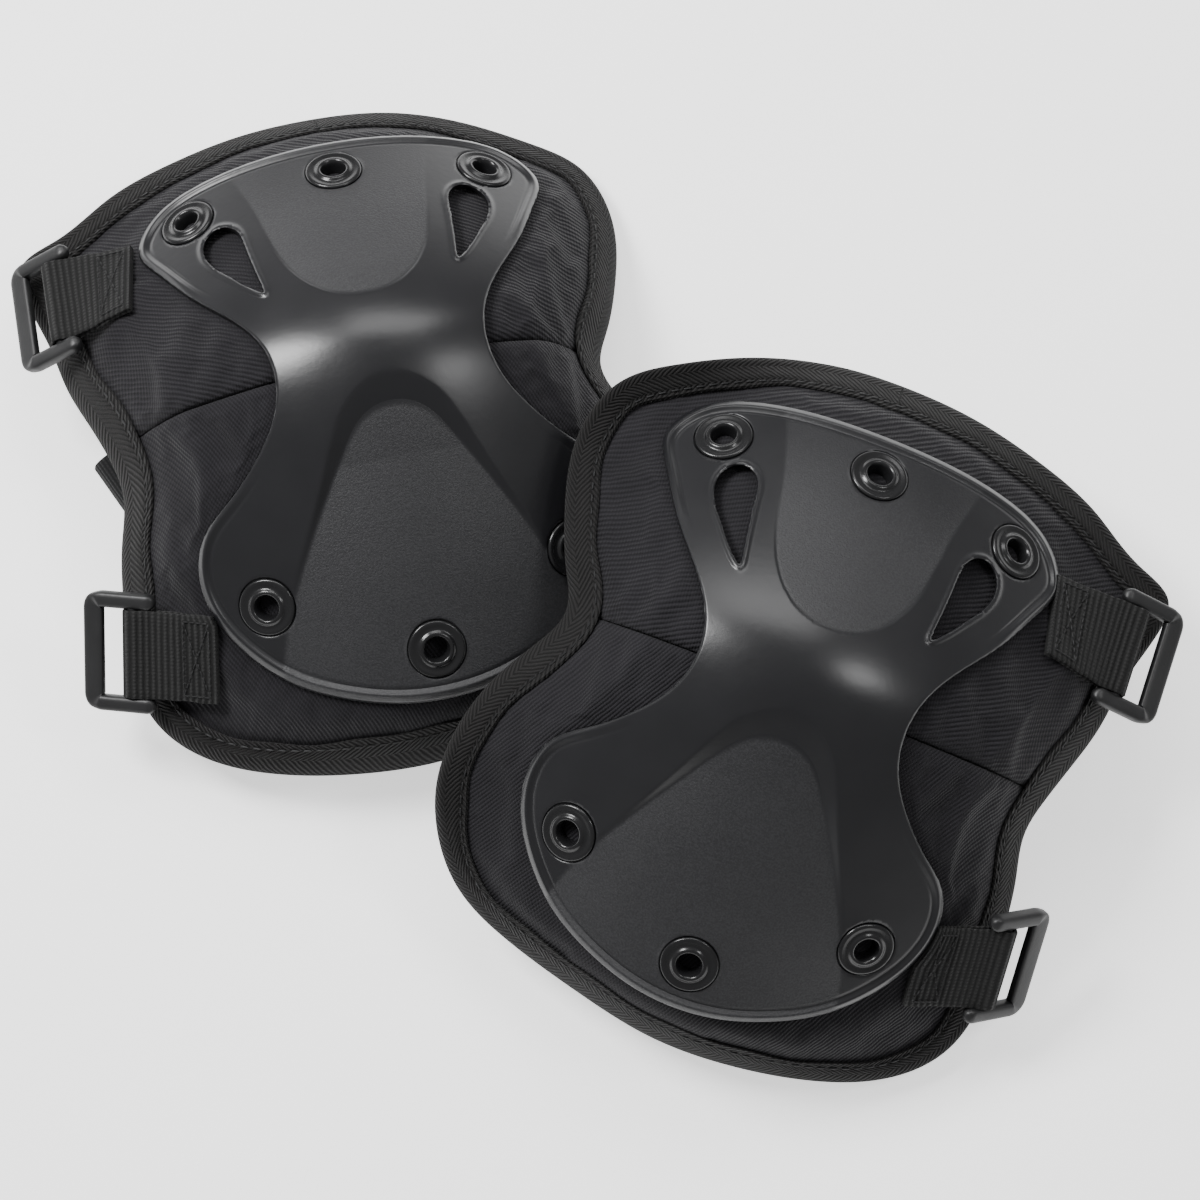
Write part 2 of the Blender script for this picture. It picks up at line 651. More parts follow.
def catmull(line):
    """A smooth line through points, with a few points added on each run."""
    ends = np.vstack([2 * line[0] - line[1], line, 2 * line[-1] - line[-2]])
    out = []
    for a, b, c, d in zip(ends, ends[1:], ends[2:], ends[3:]):
        for t in np.linspace(0, 1, 12, endpoint=False):
            out.append(0.5 * (2 * b + (c - a) * t + (2 * a - 5 * b + 4 * c - d) * t * t
                              + (3 * b - a - 3 * c + d) * t ** 3))
    out.append(line[-1])
    return np.array(out)


def arch_relief(plan):
    """Depth share of the arched panel, from 0 on the shell to 1 on its floor, and the floor's mask."""
    outer = half_line(ARCH_OUTER)
    inner = half_line(ARCH_INNER)
    in_outer = inside(outer, plan)
    in_inner = inside(inner, plan)
    from_outer = distance_to(outer, plan)
    from_inner = distance_to(inner, plan)
    share = from_outer / np.maximum(from_outer + from_inner, 1e-6)
    share = np.where(in_inner, 1.0, np.where(in_outer, share, 0.0))
    signed_share = np.where(in_outer, share, -from_outer / 6)
    signed_share = np.where(in_inner, 1 + from_inner / 6, signed_share)
    fade = ease(1 + (plan[:, 1] - ARCH_FADE_V) / ARCH_FADE)
    floor = ease(0.5 + np.where(in_inner, from_inner, -from_inner) / GRAIN_EDGE)
    return ramp(signed_share, 0.07) * fade, floor


def shell_relief(plan, rim):
    """Height of the shell's relief over its smooth form, and where it is grained."""
    v = plan[:, 1]
    relief = np.zeros(len(plan))
    ends = np.maximum(ease((v - LIP_TOP[0]) / LIP_TOP[1]), ease((LIP_BOTTOM[0] - v) / LIP_BOTTOM[1]))
    bead = bump_at(rim - LIP_AT, LIP_HALF) * LIP_HEIGHT
    groove = bump_at(rim - LIP_AT - LIP_HALF - 0.6, 0.8) * LIP_GROOVE
    relief += ends * (bead - groove)
    edge = np.clip(rim / EDGE_R, 0, 1)
    relief -= EDGE_R * (1 - np.sqrt(1 - (1 - edge) ** 2))
    sunk, on_floor = arch_relief(plan)
    relief -= ARCH_DEPTH * sunk
    patch = closed_curve(PATCH_HALF + [(-u, v) for u, v in reversed(PATCH_HALF)], 500)
    from_patch = signed(patch, plan)
    lower = 1 - ease((v - PATCH_FADE[0]) / PATCH_FADE[1])
    relief -= PATCH_DEPTH * ramp(from_patch / 0.7) * lower
    relief -= PATCH_LINE * bump_at(from_patch - 0.3, 0.8) * lower
    for side in (-1, 1):
        vent = closed_curve([(side * u, v) for u, v in VENT], 300)
        out = -signed(vent, plan)
        rise = ease(1 - (out - VENT_ROUND) / (VENT_RIM_WIDTH - VENT_ROUND)) * VENT_RIM
        relief += np.where(out > 0, rise - 0.5 * bump_at(out, 0.6), 0)
    on_patch = ramp(from_patch) * (1 - 0.6 * ease((v - 60) / 30))
    return relief, np.clip(on_floor + on_patch, 0, 1)


def off_axis(points, seat):
    """Offsets of points from a rivet seat's axis, at right angles to it."""
    foot, axis = seat
    offset = points - foot
    return offset - (offset @ axis)[..., None] * axis


def on_seat(point, seat, radius, height):
    """The place nearest to a point on a circle of a rivet seat."""
    foot, axis = seat
    off = off_axis(point, seat)
    return foot + off / np.linalg.norm(off) * radius + axis * height


def snapped(points, index, outline):
    """Move border points onto an outline in plan."""
    for k in index:
        gaps = np.hypot(outline[:, 0] - points[k, 0], outline[:, 1] - points[k, 1])
        points[k, :2] = outline[gaps.argmin()]


def add_shell(name, matrix):
    """The moulded shell as one closed mesh: relief on top, open vents and six rivet seats."""
    around = 640
    rings = 130
    rim = closed_curve(SHELL_OUTLINE, around)
    reach = 1 - (1 - np.linspace(0.03, 1, rings)) ** 1.3
    plan = (np.array(CENTRE) + reach[:, None, None] * (rim[None] - np.array(CENTRE))).reshape(-1, 2)
    faces = grid_faces(rings, around, True)
    hub = np.array([CENTRE])
    plan = np.vstack([plan, hub])
    first = np.arange(around)
    centre = len(plan) - 1
    fan = np.column_stack([np.full(around, centre), np.full(around, centre), np.roll(first, -1), first])
    middle = plan[faces].mean(axis=1)
    keep = np.ones(len(faces), bool)
    vents = [closed_curve([(side * u, v) for u, v in VENT], 400) for side in (-1, 1)]
    for vent in vents:
        keep &= ~inside(vent, middle)
    solid = np.column_stack([plan, shell_height(plan[:, 0], plan[:, 1])])
    seats = []
    for u, v in RIVETS:
        seat = (np.array([u, v, shell_height(u, v)]), np.array(normal_of(shell_height, u, v)))
        keep &= np.linalg.norm(off_axis(solid[faces].mean(axis=1), seat), axis=1) > SEAT_R
        seats.append(seat)
    faces = np.vstack([faces[keep], fan])
    edges = borders(faces)
    border = np.unique(edges)
    owner = {}
    for k in border:
        gaps = [np.hypot(*(vent - plan[k]).T).min() for vent in vents]
        for seat in seats:
            near = np.linalg.norm(solid[k] - seat[0]) < 2 * SEAT_R
            gaps.append(abs(np.linalg.norm(off_axis(solid[k], seat)) - SEAT_R) if near else FAR)
        gaps.append(np.hypot(*(rim - plan[k]).T).min())
        owner[k] = int(np.argmin(gaps))
    for which, vent in enumerate(vents):
        snapped(plan, [k for k in border if owner[k] == which], vent)
    top = np.column_stack([plan, shell_height(plan[:, 0], plan[:, 1])])
    for k in border:
        number = owner[k] - VENTS
        if 0 <= number < len(seats):
            plan[k] = on_seat(top[k], seats[number], SEAT_R, 0.0)[:2]
    rim_gap = distance_to(SHELL_LINE, plan)
    rim_gap[(rings - 1) * around:rings * around] = 0
    relief, grain = shell_relief(plan, rim_gap)
    top = np.column_stack([plan, shell_height(plan[:, 0], plan[:, 1]) + relief])
    under = np.column_stack([plan, crown(plan[:, 0], plan[:, 1]) + SHELL_GAP])
    points = [top, under]
    all_faces = [faces, faces[:, ::-1] + len(top)]
    base = 2 * len(top)
    lookup = {int(k): i for i, k in enumerate(border)}
    levels = seat_levels(top, border, owner, seats)
    previous = np.array([int(k) for k in border])
    for level in levels:
        points.append(level)
        current = base + np.arange(len(border))
        all_faces.append(wall(edges, lookup, previous, current))
        previous = current
        base += len(border)
    below = np.array([int(k) + len(top) for k in border])
    all_faces.append(wall(edges, lookup, previous, below))
    points = np.vstack(points)
    quads = np.vstack(all_faces)
    clean = [tuple(dict.fromkeys(face.tolist())) for face in quads]
    shades = np.zeros(len(points))
    shades[:2 * len(top)] = np.tile(grain, 2)
    return add_mesh(name, points, clean, MATERIALS["shell"], matrix, grain=shades)


def seat_levels(top, border, owner, seats):
    """Rings of points from each border down: a rounded edge, the seat's wall and its floor."""
    steps = [(SEAT_R - 0.25, -0.3), (SEAT_R - 0.35, -SEAT_DEPTH), (BARREL_R + 0.15, -SEAT_DEPTH),
             (BARREL_R + 0.15, -SHELL_THICK + 0.1)]
    levels = []
    for step, (radius, height) in enumerate(steps):
        level = top[border].copy()
        for i, k in enumerate(border):
            number = owner[k] - VENTS
            if 0 <= number < len(seats):
                level[i] = on_seat(top[k], seats[number], radius, height)
            else:
                level[i, 2] -= WALL_STEP * (step + 1)
        levels.append(level)
    return levels


def wall(edges, lookup, upper, lower):
    """Quads that join two rings of border points."""
    a = np.array([lookup[int(k)] for k in edges[:, 0]])
    b = np.array([lookup[int(k)] for k in edges[:, 1]])
    return np.column_stack([upper[b], upper[a], lower[a], lower[b]])


def add_rivets(name, matrix):
    """Six hollow eyelets: rounded flange, dished face, raised ring and a flared bore."""
    foot_length = PAD_THICK + SHELL_THICK
    low = -SEAT_DEPTH
    profile = [
        (BORE_R, -foot_length), (BARREL_R, -foot_length), (BARREL_R, low), (FLANGE_R - 0.25, low),
        (FLANGE_R, low + 0.25), (FLANGE_R, -0.25), (FLANGE_R - 0.1, 0.15), (FLANGE_R - 0.4, 0.45),
        (FLANGE_R - 0.85, 0.58), (FLANGE_R - 1.4, 0.52), (FLANGE_R - 2.2, 0.3), (FLANGE_R - 3.0, 0.25),
        (6.2, 0.45), (5.8, 0.85), (5.45, 1.12), (5.0, 1.2), (4.6, 1.1), (4.3, 0.75), (4.0, 0.1), (3.75, -0.8),
        (3.6, -2.0), (BORE_R, -3.5)]
    parts = []
    for u, v in RIVETS:
        axis = normal_of(shell_height, u, v)
        turn = Vector((0, 0, 1)).rotation_difference(axis).to_matrix()
        points, faces, weave = turned(profile, 72)
        points = points @ np.array(turn).T + np.array([u, v, shell_height(u, v)])
        parts.append((points, faces, weave + np.array([u, v, 0])))
    points, faces, weave = join(parts)
    return add_mesh(name, points, faces, MATERIALS["rivet"], matrix, weave=weave)


# ======== pad ========

def ripple(u, v, pitch, seed):
    """A smooth uneven ripple between -1 and 1."""
    total = np.zeros_like(u)
    for k in range(5):
        angle = seed * 1.7 + k * 2.399
        wave = 2 * math.pi / (pitch * (0.7 + 0.22 * k))
        total += np.sin(wave * (u * math.cos(angle) + v * math.sin(angle)) + seed * 3.1 + k)
    return total / 5


def cover_fall(u, v, rim, shell_gap):
    """How far the cover is drawn in at its seam, at the binding and under the shell, in millimetres."""
    binding = binding_width(v)
    at_seam = 1.25 * np.exp(-((v - SEAM_V) / 1.5) ** 2) + 0.8 * np.exp(-np.abs(v - SEAM_V) / 7)
    at_binding = 1.0 * np.exp(-np.maximum(rim - binding, 0) / 3.0)
    at_shell = 0.7 * np.exp(-np.maximum(-shell_gap, 0) / 2.5)
    pucker = 0.35 * ripple(u, v, 7, 1) * np.exp(-np.maximum(rim - binding, 0) / 5.0)
    return at_seam + at_binding + at_shell + pucker


def inset_line(inset):
    """The pad's outline moved in by a distance, as (points, inward normals)."""
    line = PAD_LINE
    along = np.roll(line, -1, axis=0) - np.roll(line, 1, axis=0)
    along /= np.linalg.norm(along, axis=1)[:, None]
    inward = np.column_stack([along[:, 1], -along[:, 0]])
    return line + inward * inset, inward


def half_fan(upper, around, rings):
    """Plan points of one panel: rays from the seam's middle to the pad's rim, above or below the seam."""
    line, _ = inset_line(1.6)
    offset = line - np.array(CENTRE)
    angles = np.arctan2(offset[:, 1], offset[:, 0])
    order = np.argsort(angles)
    radii = np.hypot(offset[:, 0], offset[:, 1])[order]
    angles = angles[order]
    start = 0 if upper else -math.pi
    wanted = start + np.linspace(0, math.pi, around)
    reach = np.interp(wanted, angles, radii, period=2 * math.pi)
    share = np.linspace(0.02, 1, rings)
    plan = np.stack([
        CENTRE[0] + share[:, None] * reach * np.cos(wanted),
        CENTRE[1] + share[:, None] * reach * np.sin(wanted)], axis=-1)
    return plan.reshape(-1, 2)


def inflate(piece, held):
    """Cloth simulation: the cover swells between its seams under a light pressure."""
    group = piece.vertex_groups.new(name="held")
    for index, weight in enumerate(held):
        group.add([index], float(weight), "REPLACE")
    rest = np.array([vertex.co for vertex in piece.data.vertices])
    cloth = piece.modifiers.new("Cloth", "CLOTH")
    cloth.settings.vertex_group_mass = "held"
    cloth.settings.use_pressure = True
    cloth.settings.uniform_pressure_force = SWELL_PRESSURE
    cloth.settings.effector_weights.gravity = 0
    cloth.settings.quality = 4
    cloth.settings.shrink_min = -0.03
    scene = bpy.context.scene
    for number in range(1, SWELL_FRAMES + 1):
        scene.frame_set(number)
    evaluated = piece.evaluated_get(bpy.context.evaluated_depsgraph_get())
    swollen = np.array([vertex.co for vertex in evaluated.data.vertices])
    piece.modifiers.remove(cloth)
    move = swollen - rest
    size = np.linalg.norm(move, axis=1)
    size_limit = SWELL_LIMIT * MM
    move *= (size_limit * np.tanh(size / size_limit) / np.maximum(size, 1e-12))[:, None]
    piece.data.vertices.foreach_set("co", (rest + move).ravel())
    scene.frame_set(1)
    piece.data.update()


def add_cover(name, upper, lie, matrix):
    """One sewn half of the padded cover, closed round its foam."""
    around, rings = 200, 44
    plan = half_fan(upper, around, rings)
    u, v = plan[:, 0], plan[:, 1]
    rim = distance_to(PAD_LINE, plan)
    shell_gap = signed(SHELL_LINE, plan)
    lift = lie["wing_lift"]
    front = pad_front(u, v, rim, lift) - cover_fall(u, v, rim, shell_gap)
    front -= 1.0 * ease(shell_gap / 8)
    back = pad_back(u, v, rim, lift) + 1.1
    back = np.minimum(back, front - 1.0)
    points = np.vstack([np.column_stack([plan, front]), np.column_stack([plan, back])])
    faces = grid_faces(rings, around, False)
    edges = borders(faces)
    count = len(plan)
    sides = np.column_stack([edges[:, 1], edges[:, 0], edges[:, 0] + count, edges[:, 1] + count])
    quads = np.vstack([faces, faces[:, ::-1] + count, sides])
    material = MATERIALS["upper" if upper else "lower"]
    weave = np.vstack([np.column_stack([plan, front])] * 2)
    piece = add_mesh(name, points, quads, material, matrix, weave=weave)
    near_seam = np.exp(-((v - SEAM_V) / 4.0) ** 2)
    near_rim = 1 - ease((rim - binding_width(v)) / 5)
    near_shell = ease((shell_gap + 5) / 4)
    held = np.clip(np.maximum(np.maximum(near_seam, near_rim), near_shell), 0, 1)
    inflate(piece, np.concatenate([held, np.ones(count)]))
    subdivide(piece, 1)
    return piece


def subdivide(piece, levels):
    """Smooth the mesh itself by a few levels of subdivision."""
    smoothing = piece.modifiers.new("Smooth", "SUBSURF")
    smoothing.levels = levels
    smoothing.render_levels = levels
    evaluated = piece.evaluated_get(bpy.context.evaluated_depsgraph_get())
    finer = bpy.data.meshes.new_from_object(evaluated)
    piece.modifiers.clear()
    piece.data = finer


def add_lining(name, lie, matrix):
    """The inner fabric, one thin sheet over the hollow back."""
    around, rings = 300, 50
    line, _ = inset_line(2.2)
    line = evenly(np.vstack([line, line[:1]]), around + 1)[:-1]
    share = np.linspace(0.015, 1, rings)
    plan = (np.array(CENTRE) + share[:, None, None] * (line[None] - np.array(CENTRE))).reshape(-1, 2)
    u, v = plan[:, 0], plan[:, 1]
    rim = distance_to(PAD_LINE, plan)
    quilt = 0.5 * ripple(u, v, 40, 2)
    low = pad_back(u, v, rim, lie["wing_lift"]) - 0.1 + quilt * ease((rim - 14) / 10)
    sheet = np.column_stack([plan, low])
    points = np.vstack([sheet, sheet + np.array([0, 0, 0.8])])
    faces = grid_faces(rings, around, True)
    edges = borders(faces)
    edges = edges[edges.min(axis=1) >= around]
    count = len(plan)
    sides = np.column_stack([edges[:, 0], edges[:, 1], edges[:, 1] + count, edges[:, 0] + count])
    quads = np.vstack([faces[:, ::-1], faces + count, sides])
    hub = tuple(range(around))
    all_faces = [tuple(face) for face in quads] + [hub, tuple(reversed([k + count for k in hub]))]
    return add_mesh(name, points, all_faces, MATERIALS["lining"], matrix, weave=points)


def add_binding(name, lie, matrix):
    """Tape folded over the rim: front leg, rounded edge and back leg, puckered by its stitches."""
    stations = 900
    line = evenly(np.vstack([PAD_LINE, PAD_LINE[:1]]), stations + 1)[:-1]
    along = np.roll(line, -1, axis=0) - np.roll(line, 1, axis=0)
    along /= np.linalg.norm(along, axis=1)[:, None]
    inward = np.column_stack([along[:, 1], -along[:, 0]])
    length = np.linalg.norm(np.diff(np.vstack([line, line[:1]]), axis=0), axis=1).sum()
    run = np.arange(stations) * length / stations
    width = binding_width(line[:, 1]) + 0.5 * np.sin(run / 6.3) * np.sin(run / 17)
    lift = lie["wing_lift"]
    sections = []
    weave = []

    def at(inset, height):
        across = np.full(stations, TAPE_START - TAPE_STEP * len(sections))
        weave.append(np.column_stack([run, across, np.zeros(stations)]))
        sections.append(np.column_stack([line + inward * inset[:, None], height]))

    def surface(function, inset):
        plan = line + inward * inset[:, None]
        return function(plan[:, 0], plan[:, 1], np.maximum(inset, 0.0), lift)

    stitch = 0.30 * (0.5 + 0.5 * np.cos(2 * math.pi * run / STITCH_PITCH))
    uneven = 0.25 * np.sin(run / 3.7) * np.sin(run / 11.0 + 1)
    for share in np.linspace(0, 1, 11):
        inset = width * (1 - share) + NOSE * share
        rounded = BINDING * math.sqrt(max(0.0, 1 - max(0.0, 1 - share * 9) ** 2)) if share < 0.12 else BINDING
        dip = np.exp(-((width - inset - VALLEY) / 1.1) ** 2) * (0.6 + stitch)
        body = (0.45 + uneven) * math.sin(math.pi * share)
        at(inset, surface(pad_front, inset) + rounded + body - dip)
    nose = np.full(stations, NOSE)
    top = surface(pad_front, nose) + BINDING
    bottom = surface(pad_back, nose) - BINDING
    for angle in np.linspace(0, math.pi, 13)[1:-1]:
        inset = nose * (1 - math.sin(angle))
        height = (top + bottom) / 2 + (top - bottom) / 2 * math.cos(angle)
        lean = surface(pad_front, inset) - surface(pad_front, nose)
        at(inset, height + lean * 0.9)
    for share in np.linspace(0, 1, 8):
        inset = nose * (1 - share) + (width - 0.5) * share
        at(inset, surface(pad_back, inset) - BINDING * (1 if share < 0.9 else 0.2))
    points = np.vstack(sections)
    size = len(sections)
    faces = grid_faces(size, stations, True)
    j = np.arange(stations)
    k = (j + 1) % stations
    last = (size - 1) * stations
    closing = np.column_stack([last + j, last + k, k, j])
    quads = np.vstack([faces, closing])[:, ::-1]
    return add_mesh(name, points, quads, MATERIALS["binding"], matrix, weave=np.vstack(weave))


def add_rim_stitches(name, lie, matrix):
    """The row of stitches that holds the binding."""
    line, inward = PAD_LINE, inset_line(0)[1]
    inset = binding_width(line[:, 1]) - VALLEY
    plan = line + inward * inset[:, None]
    total = np.linalg.norm(np.diff(plan, axis=0), axis=1).sum()
    plan = evenly(np.vstack([plan, plan[:1]]), int(total / STITCH_PITCH))[:-1]
    rim = distance_to(PAD_LINE, plan)
    height = pad_front(plan[:, 0], plan[:, 1], rim, lie["wing_lift"]) + BINDING - 0.05
    places = np.column_stack([plan, height])
    alongs = np.roll(places, -1, axis=0) - np.roll(places, 1, axis=0)
    alongs /= np.linalg.norm(alongs, axis=1)[:, None]
    ups = np.tile([0.0, 0.0, 1.0], (len(places), 1))
    points, faces, weave = capsules(places, alongs, ups, STITCH_LENGTH, STITCH_R)
    return add_mesh(name, points, faces, MATERIALS["thread"], matrix, weave=weave)


# ======== webbing, buckles and straps ========

def tab_foot(u, v):
    """Height of the fabric that a tab is sewn to, at one place."""
    place = np.array([[u, v]], float)
    return float(pad_front(place[:, 0], place[:, 1], distance_to(PAD_LINE, place), 0.0)[0])


def tab_matrix(name):
    """Frame of a tab at its sewn end: x along the webbing, y along the buckle's bar, z out of the pad."""
    u, v = TABS[name]["at"]
    bar_u, bar_v = TABS[name]["bar"]
    out = Vector((*TABS[name]["slope"], 1)).normalized()
    lifted = Vector((bar_u, bar_v, -(out.x * bar_u + out.y * bar_v) / out.z)).normalized()
    along = lifted.cross(out)
    end = Vector((u, v, tab_foot(u, v))) + out * (PLY + TAB_GAP)
    frame_matrix = Matrix.Identity(4)
    for column, vector in enumerate((along, lifted, out, end)):
        for row in range(3):
            frame_matrix[row][column] = vector[row]
    return frame_matrix


def sewn_down(name, points):
    """Twist a tab's points so that its sewn end lies flat on the pad and stops at the shell's edge."""
    frame_matrix = tab_matrix(name)
    to_tab = frame_matrix.to_3x3().transposed()
    out = to_tab @ normal_of(tab_foot, *TABS[name]["at"])
    twist = -math.atan2(out.y, out.z)
    reach = TABS[name]["length"] - BAR_R
    across = np.linspace(-WEB_WIDTH / 2, WEB_WIDTH / 2, 13)
    start = np.zeros(len(across))
    for k, y in enumerate(across):
        steps = np.linspace(0, SEWN_LENGTH, 60)
        plan = np.array([(frame_matrix @ Vector((x, y, 0)))[:2] for x in steps])
        under = signed(SHELL_LINE, plan) > -TAB_GAP
        start[k] = steps[under].max() if under.any() else 0.0
    x, y, z = points.T
    begin = np.interp(y, across, start)
    x = np.where(x < SEWN_LENGTH, begin + x * (1 - begin / SEWN_LENGTH), x)
    angle = twist * (1 - ease(x / reach))
    return np.column_stack([x, y * np.cos(angle) - z * np.sin(angle), y * np.sin(angle) + z * np.cos(angle)])


def ribbon(path, width, thick, rib_pitch, rib_depth, wobble=0.25, lowest=-math.inf):
    """Woven tape along an (x, z) path, with cross ribs and slightly wavy edges, no lower than lowest."""
    path = catmull(np.array(path, float))
    path[:, 1] = np.maximum(path[:, 1], lowest)
    path = evenly(path, 2 + int(line_length(path) / 0.45))
    along = np.gradient(path, axis=0)
    along /= np.linalg.norm(along, axis=1)[:, None]
    run = np.concatenate([[0], np.cumsum(np.linalg.norm(np.diff(path, axis=0), axis=1))])
    centres = np.column_stack([path[:, 0], np.zeros(len(path)), path[:, 1]])
    rights = np.tile([0.0, 1.0, 0.0], (len(path), 1))
    ups = np.column_stack([-along[:, 1], np.zeros(len(path)), along[:, 0]])
    flat = np.linspace(-1, 1, 13)

    def section(k):
        rib = rib_depth * math.cos(2 * math.pi * run[k] / rib_pitch)
        half = width / 2 + wobble * math.sin(run[k] / 2.3) * math.sin(run[k] / 5.1) - max(0, rib) * 0.6
        tall = thick / 2 - 0.05 + rib
        y = flat * (half - thick * 0.3)
        upper = np.column_stack([y, np.full(len(y), tall)])
        lower = np.column_stack([y[::-1], np.full(len(y), -tall)])
        left = np.array([[half, tall * 0.5], [half, -tall * 0.5]])
        right = np.array([[-half, -tall * 0.5], [-half, tall * 0.5]])
        return np.vstack([upper, left, lower, right])

    return sweep(centres, rights, ups, section, run)


def line_length(path):
    return float(np.linalg.norm(np.diff(np.array(path, float), axis=0), axis=1).sum())


def add_tab(name, tab, matrix):
    """Doubled webbing from its sewn end, round the buckle's bar and back."""
    length = TABS[tab]["length"]
    radius = BAR_R + LOOP_CLEAR + PLY / 2
    ply = PLY / 2
    angles = np.radians(np.linspace(118, -118, 13))
    loop = [(length + radius * math.cos(a), radius * math.sin(a)) for a in angles]
    straight = np.linspace(0, length - 2 * radius, 6)
    start = [(x, ply + WEB_SWELL * float(ease((x - SEWN_LENGTH) / SEWN_LENGTH))) for x in straight]
    path = start + loop + [(x, -z) for x, z in reversed(start)]
    points, faces, weave = ribbon(path, WEB_WIDTH, PLY, 2.2, 0.10)
    place = matrix @ tab_matrix(tab)
    return add_mesh(name, sewn_down(tab, points), faces, MATERIALS["webbing"], place, weave=weave)


def add_tab_stitches(name, tab, matrix):
    """A sewn box with a cross in it, at the tab's sewn end."""
    half = WEB_WIDTH / 2 - STITCH_INSET
    near, far = STITCH_INSET, SEWN_LENGTH - 1.5
    corners = [(near, -half), (near, half), (far, half), (far, -half), (near, -half)]
    runs = list(zip(corners, corners[1:])) + [((near, -half), (far, half)), ((near, half), (far, -half))]
    places, alongs = [], []
    for start, end in runs:
        start, end = np.array(start), np.array(end)
        length = np.linalg.norm(end - start)
        count = max(2, round(length / SEWING_PITCH))
        for k in range(count):
            x, y = start + (end - start) * (k + 0.5) / count
            places.append((x, y, PLY + 0.12))
            alongs.append((*((end - start) / length), 0))
    ups = np.tile([0.0, 0.0, 1.0], (len(places), 1))
    points, faces, weave = capsules(np.array(places), np.array(alongs), ups, 0.8 * SEWING_PITCH, THREAD_R)
    place = matrix @ tab_matrix(tab)
    return add_mesh(name, sewn_down(tab, points), faces, MATERIALS["thread"], place, weave=weave)


def superellipse(half_width, half_height, power=3.2, count=20):
    """Points of a rounded rectangle."""
    angles = np.linspace(0, 2 * math.pi, count, endpoint=False) + math.pi / count
    c, s = np.cos(angles), np.sin(angles)
    across = np.sign(c) * np.abs(c) ** (2 / power)
    up = np.sign(s) * np.abs(s) ** (2 / power)
    return np.column_stack([half_width * across, half_height * up])


def add_buckle(name, tab, matrix):
    """Moulded ladder frame: finger-ended rails, rounded corners, flat outer bar and a round bar."""
    opening = WEB_WIDTH + 2 * BUCKLE_PLAY
    side = (opening + RAIL_WIDTH) / 2
    slot_end = BAR_R + LOOP_CLEAR + PLY + SLOT
    middle = slot_end + OUTER_BAR / 2
    corner = 3.0
    route = [(-RAIL_BACK, -side)] + [(x, -side) for x in np.linspace(-RAIL_BACK + 1, middle - corner, 16)]
    route += [(middle - corner + corner * math.sin(a), -side + corner - corner * math.cos(a))
              for a in np.radians([15, 30, 45, 60, 75])]
    route += [(middle, y) for y in np.linspace(-side + corner, side - corner, 21)]
    route += [(middle - corner + corner * math.cos(a), side - corner + corner * math.sin(a))
              for a in np.radians([15, 30, 45, 60, 75])]
    route += [(x, side) for x in np.linspace(middle - corner, -RAIL_BACK + 1, 16)] + [(-RAIL_BACK, side)]
    route = evenly(np.array(route, float), 150)
    along = np.gradient(route, axis=0)
    along /= np.linalg.norm(along, axis=1)[:, None]
    run = np.concatenate([[0], np.cumsum(np.linalg.norm(np.diff(route, axis=0), axis=1))])
    centres = np.column_stack([route, np.zeros(len(route))])
    rights = np.column_stack([along[:, 1], -along[:, 0], np.zeros(len(route))])
    ups = np.tile([0.0, 0.0, 1.0], (len(route), 1))

    def section(k):
        on_bar = ease((along[k, 1] - 0.35) / 0.5)
        half_width = (RAIL_WIDTH + BUCKLE_SWELL + (OUTER_BAR - RAIL_WIDTH) * on_bar) / 2
        half_height = RAIL_THICK / 2 + (OUTER_BAR_THICK - RAIL_THICK) / 2 * on_bar
        end_gap = min(run[k], run[-1] - run[k]) / 3.2
        taper = math.sqrt(max(0.0016, 1 - max(0.0, 1 - end_gap) ** 2))
        return superellipse(half_width * taper, half_height * taper, 3.4 + 1.6 * on_bar)

    loop = sweep(centres, rights, ups, section, run)
    bar_y = np.linspace(-side, side, 30)
    centres = np.column_stack([np.zeros(30), bar_y, np.zeros(30)])
    rights = np.tile([0.0, 0.0, 1.0], (30, 1))
    ups = np.tile([1.0, 0.0, 0.0], (30, 1))
    bar = sweep(centres, rights, ups, lambda k: superellipse(BAR_R, BAR_R, 2.0), bar_y)
    points, faces, _ = join([loop, bar])
    droop = Matrix.Rotation(math.radians(TABS[tab]["droop"]), 4, "Y")
    place = matrix @ tab_matrix(tab) @ Matrix.Translation((TABS[tab]["length"], 0, 0)) @ droop
    return add_mesh(name, points, faces, MATERIALS["buckle"], place, weave=points)


